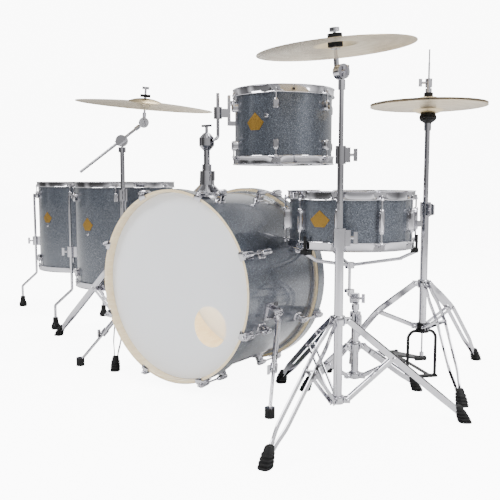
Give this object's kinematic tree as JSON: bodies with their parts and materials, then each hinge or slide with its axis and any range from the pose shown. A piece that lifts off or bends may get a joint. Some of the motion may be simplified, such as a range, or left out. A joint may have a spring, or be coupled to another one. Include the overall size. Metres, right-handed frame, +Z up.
{
  "type": "acoustic drum kit",
  "caption": "Acoustic drum kit: bass drum, rack tom, two floor toms, snare on its stand, hi-hat, straight crash stand and boom ride stand.",
  "frame": {"origin": "on the floor, under the middle of the kit's bounding box", "axes": "+Z up, -Y towards the audience along the bass drum's axis, +X to the audience's right; the bass drum's axis is parallel to Y"},
  "size_m": [2.3974, 1.3658, 1.037],
  "materials": {
    "sparkle_shell": "dark blue-grey metallic sparkle lacquer over maple plies",
    "hoop_lacquer": "the same sparkle lacquer on bent maple",
    "coated_head": "coated white drumhead film",
    "chrome_plate": "polished chrome plating",
    "cymbal_bronze": "lathed bronze, brilliant",
    "snare_steel": "bright steel",
    "black_felt": "pressed black felt",
    "black_casting": "black powder coat"
  },
  "bodies": {
    "frame": {"bass_shell": "sparkle_shell", "bass_hoops": "hoop_lacquer", "bass_front_head": "coated_head", "bass_rear_head": "coated_head", "bass_claws": "chrome_plate", "bass_lugs": "chrome_plate", "spur_brackets": "chrome_plate", "tom_base": "chrome_plate", "floor_shells": "sparkle_shell", "floor_hoops": "chrome_plate", "floor_heads": "coated_head", "floor_lugs": "chrome_plate", "floor_brackets": "chrome_plate", "snare_stand_legs": "chrome_plate", "snare_stand_tube": "chrome_plate", "hat_legs": "chrome_plate", "hat_stand": "chrome_plate", "hat_bottom_cymbal": "cymbal_bronze", "crash_legs": "chrome_plate", "crash_tube_lower": "chrome_plate", "ride_legs": "chrome_plate", "ride_tube_lower": "chrome_plate"},
    "spur_right": {"spur_right": "chrome_plate"},
    "spur_left": {"spur_left": "chrome_plate"},
    "tom_post": {"tom_post": "chrome_plate"},
    "tom_arm": {"tom_arm": "chrome_plate"},
    "rack_tom": {"tom_shell": "sparkle_shell", "tom_hoops": "chrome_plate", "tom_heads": "coated_head", "tom_lugs": "chrome_plate", "tom_mount": "chrome_plate"},
    "snare_stand_upper": {"snare_stand_upper": "chrome_plate"},
    "snare": {"snare_basket": "chrome_plate", "snare_shell": "sparkle_shell", "snare_hoops": "chrome_plate", "snare_heads": "coated_head", "snare_lugs": "chrome_plate", "snare_strainer": "chrome_plate"},
    "snare_lever": {"snare_lever": "chrome_plate"},
    "snare_wires": {"snare_wires": "snare_steel"},
    "hat_pedal": {"hat_pedal": "black_casting"},
    "hat_rod": {"hat_rod": "snare_steel", "hat_top_cymbal": "cymbal_bronze"},
    "crash_middle": {"crash_tube_middle": "chrome_plate"},
    "crash_upper": {"crash_tube_upper": "chrome_plate"},
    "crash_tilter": {"crash_tilter": "chrome_plate"},
    "crash_felts": {"crash_felts": "black_felt"},
    "crash_cymbal": {"crash_cymbal": "cymbal_bronze"},
    "ride_upper": {"ride_tube_upper": "chrome_plate"},
    "ride_boom_clamp": {"ride_boom_clamp": "chrome_plate"},
    "ride_boom": {"ride_boom": "chrome_plate"},
    "ride_tilter": {"ride_tilter": "chrome_plate"},
    "ride_felts": {"ride_felts": "black_felt"},
    "ride_cymbal": {"ride_cymbal": "cymbal_bronze"},
    "floor_leg_1": {"floor_leg_1": "chrome_plate"},
    "floor_leg_2": {"floor_leg_2": "chrome_plate"},
    "floor_leg_3": {"floor_leg_3": "chrome_plate"},
    "floor_leg_4": {"floor_leg_4": "chrome_plate"},
    "floor_leg_5": {"floor_leg_5": "chrome_plate"},
    "floor_leg_6": {"floor_leg_6": "chrome_plate"}
  },
  "joints": [
    {"name": "spur_right_fold", "type": "hinge", "parent": "frame", "child": "spur_right", "pos_m": [0.65629, -0.24408, 0.24907], "axis": [0, 1, 0], "range_deg": [-35, 0]},
    {"name": "spur_left_fold", "type": "hinge", "parent": "frame", "child": "spur_left", "pos_m": [0.07051, -0.24408, 0.24907], "axis": [0, 1, 0], "range_deg": [0, 90]},
    {"name": "tom_post_turn", "type": "hinge", "parent": "frame", "child": "tom_post", "pos_m": [0.3634, -0.20208, 0.65], "axis": [0, 0, 1], "range_deg": [-5, 45]},
    {"name": "tom_ball_tilt", "type": "hinge", "parent": "tom_post", "child": "tom_arm", "pos_m": [0.3634, -0.20208, 0.756], "axis": [0.9607, 0.135, 0.2425], "range_deg": [-10, 10]},
    {"name": "tom_height", "type": "slide", "parent": "tom_arm", "child": "rack_tom", "axis": [0, 0, 1], "range_m": [-0.025, 0.035]},
    {"name": "snare_stand_height", "type": "slide", "parent": "frame", "child": "snare_stand_upper", "axis": [0, 0, 1], "range_m": [0, 0.045]},
    {"name": "snare_basket_tilt", "type": "hinge", "parent": "snare_stand_upper", "child": "snare", "pos_m": [0.7934, -0.00408, 0.273], "axis": [0.966, 0.2584, 0], "range_deg": [-3, 3]},
    {"name": "snare_lever_throw", "type": "hinge", "parent": "snare", "child": "snare_lever", "pos_m": [1.00555, -0.03225, 0.5125], "axis": [-0.2924, 0.9563, 0], "range_deg": [0, 80]},
    {"name": "snare_wires_drop", "type": "slide", "parent": "snare", "child": "snare_wires", "axis": [0, 0, -1], "range_m": [0, 0.003]},
    {"name": "hat_rod_travel", "type": "slide", "parent": "frame", "child": "hat_rod", "axis": [0, 0, 1], "range_m": [-0.0045, 0], "stiffness_N_per_m": 2000, "springref_m": 0.02},
    {"name": "hat_pedal_press", "type": "hinge", "parent": "frame", "child": "hat_pedal", "pos_m": [0.73787, 0.36119, 0.016], "axis": [0.6613, 0.7501, 0], "range_deg": [0, 1.1]},
    {"name": "crash_height_lower", "type": "slide", "parent": "frame", "child": "crash_middle", "axis": [0, 0, 1], "range_m": [-0.06, 0.14]},
    {"name": "crash_height_upper", "type": "slide", "parent": "crash_middle", "child": "crash_upper", "axis": [0, 0, 1], "range_m": [-0.05, 0.12]},
    {"name": "crash_tilt", "type": "hinge", "parent": "crash_upper", "child": "crash_tilter", "pos_m": [0.9004, -0.30908, 0.908], "axis": [0.9304, -0.3665, 0], "range_deg": [-25, 25]},
    {"name": "crash_swing", "type": "hinge", "parent": "crash_tilter", "child": "crash_felts", "pos_m": [0.87979, -0.30955, 0.9881], "axis": [0.9304, -0.3665, 0], "range_deg": [-8, 8]},
    {"name": "crash_spin", "type": "hinge", "parent": "crash_felts", "child": "crash_cymbal", "pos_m": [0.87979, -0.30955, 0.9881], "axis": [-0.0364, -0.0924, 0.9951], "continuous": true},
    {"name": "ride_height", "type": "slide", "parent": "frame", "child": "ride_upper", "axis": [0, 0, 1], "range_m": [-0.1, 0.14]},
    {"name": "ride_boom_tilt", "type": "hinge", "parent": "ride_upper", "child": "ride_boom_clamp", "pos_m": [-0.1616, -0.07408, 0.785], "axis": [0.5934, -0.8049, 0], "range_deg": [-30, 35]},
    {"name": "ride_boom_slide", "type": "slide", "parent": "ride_boom_clamp", "child": "ride_boom", "axis": [0.642, 0.4733, 0.6032], "range_m": [-0.045, 0.12]},
    {"name": "ride_tilt", "type": "hinge", "parent": "ride_boom", "child": "ride_tilter", "pos_m": [-0.083, -0.0355, 0.85128], "axis": [0.678, -0.7177, -0.1584], "range_deg": [-25, 35]},
    {"name": "ride_swing", "type": "hinge", "parent": "ride_tilter", "child": "ride_felts", "pos_m": [-0.08163, -0.0273, 0.93994], "axis": [0.678, -0.7177, -0.1584], "range_deg": [-8, 8]},
    {"name": "ride_spin", "type": "hinge", "parent": "ride_felts", "child": "ride_cymbal", "pos_m": [-0.08163, -0.0273, 0.93994], "axis": [0.1638, -0.0626, 0.9845], "continuous": true},
    {"name": "floor_leg_1_slide", "type": "slide", "parent": "frame", "child": "floor_leg_1", "axis": [0, 0, 1], "range_m": [-0.06, 0.1]},
    {"name": "floor_leg_2_slide", "type": "slide", "parent": "frame", "child": "floor_leg_2", "axis": [0, 0, 1], "range_m": [-0.06, 0]},
    {"name": "floor_leg_3_slide", "type": "slide", "parent": "frame", "child": "floor_leg_3", "axis": [0, 0, 1], "range_m": [-0.06, 0.1]},
    {"name": "floor_leg_4_slide", "type": "slide", "parent": "frame", "child": "floor_leg_4", "axis": [0, 0, 1], "range_m": [-0.06, 0.1]},
    {"name": "floor_leg_5_slide", "type": "slide", "parent": "frame", "child": "floor_leg_5", "axis": [0, 0, 1], "range_m": [-0.06, 0.1]},
    {"name": "floor_leg_6_slide", "type": "slide", "parent": "frame", "child": "floor_leg_6", "axis": [0, 0, 1], "range_m": [-0.06, 0.1]}
  ],
  "couplings": [
    {"joint": "hat_pedal_press", "follows": "hat_rod_travel", "rad_per_m": -3.906},
    {"joint": "snare_wires_drop", "follows": "snare_lever_throw", "m_per_rad": 0.002}
  ]
}
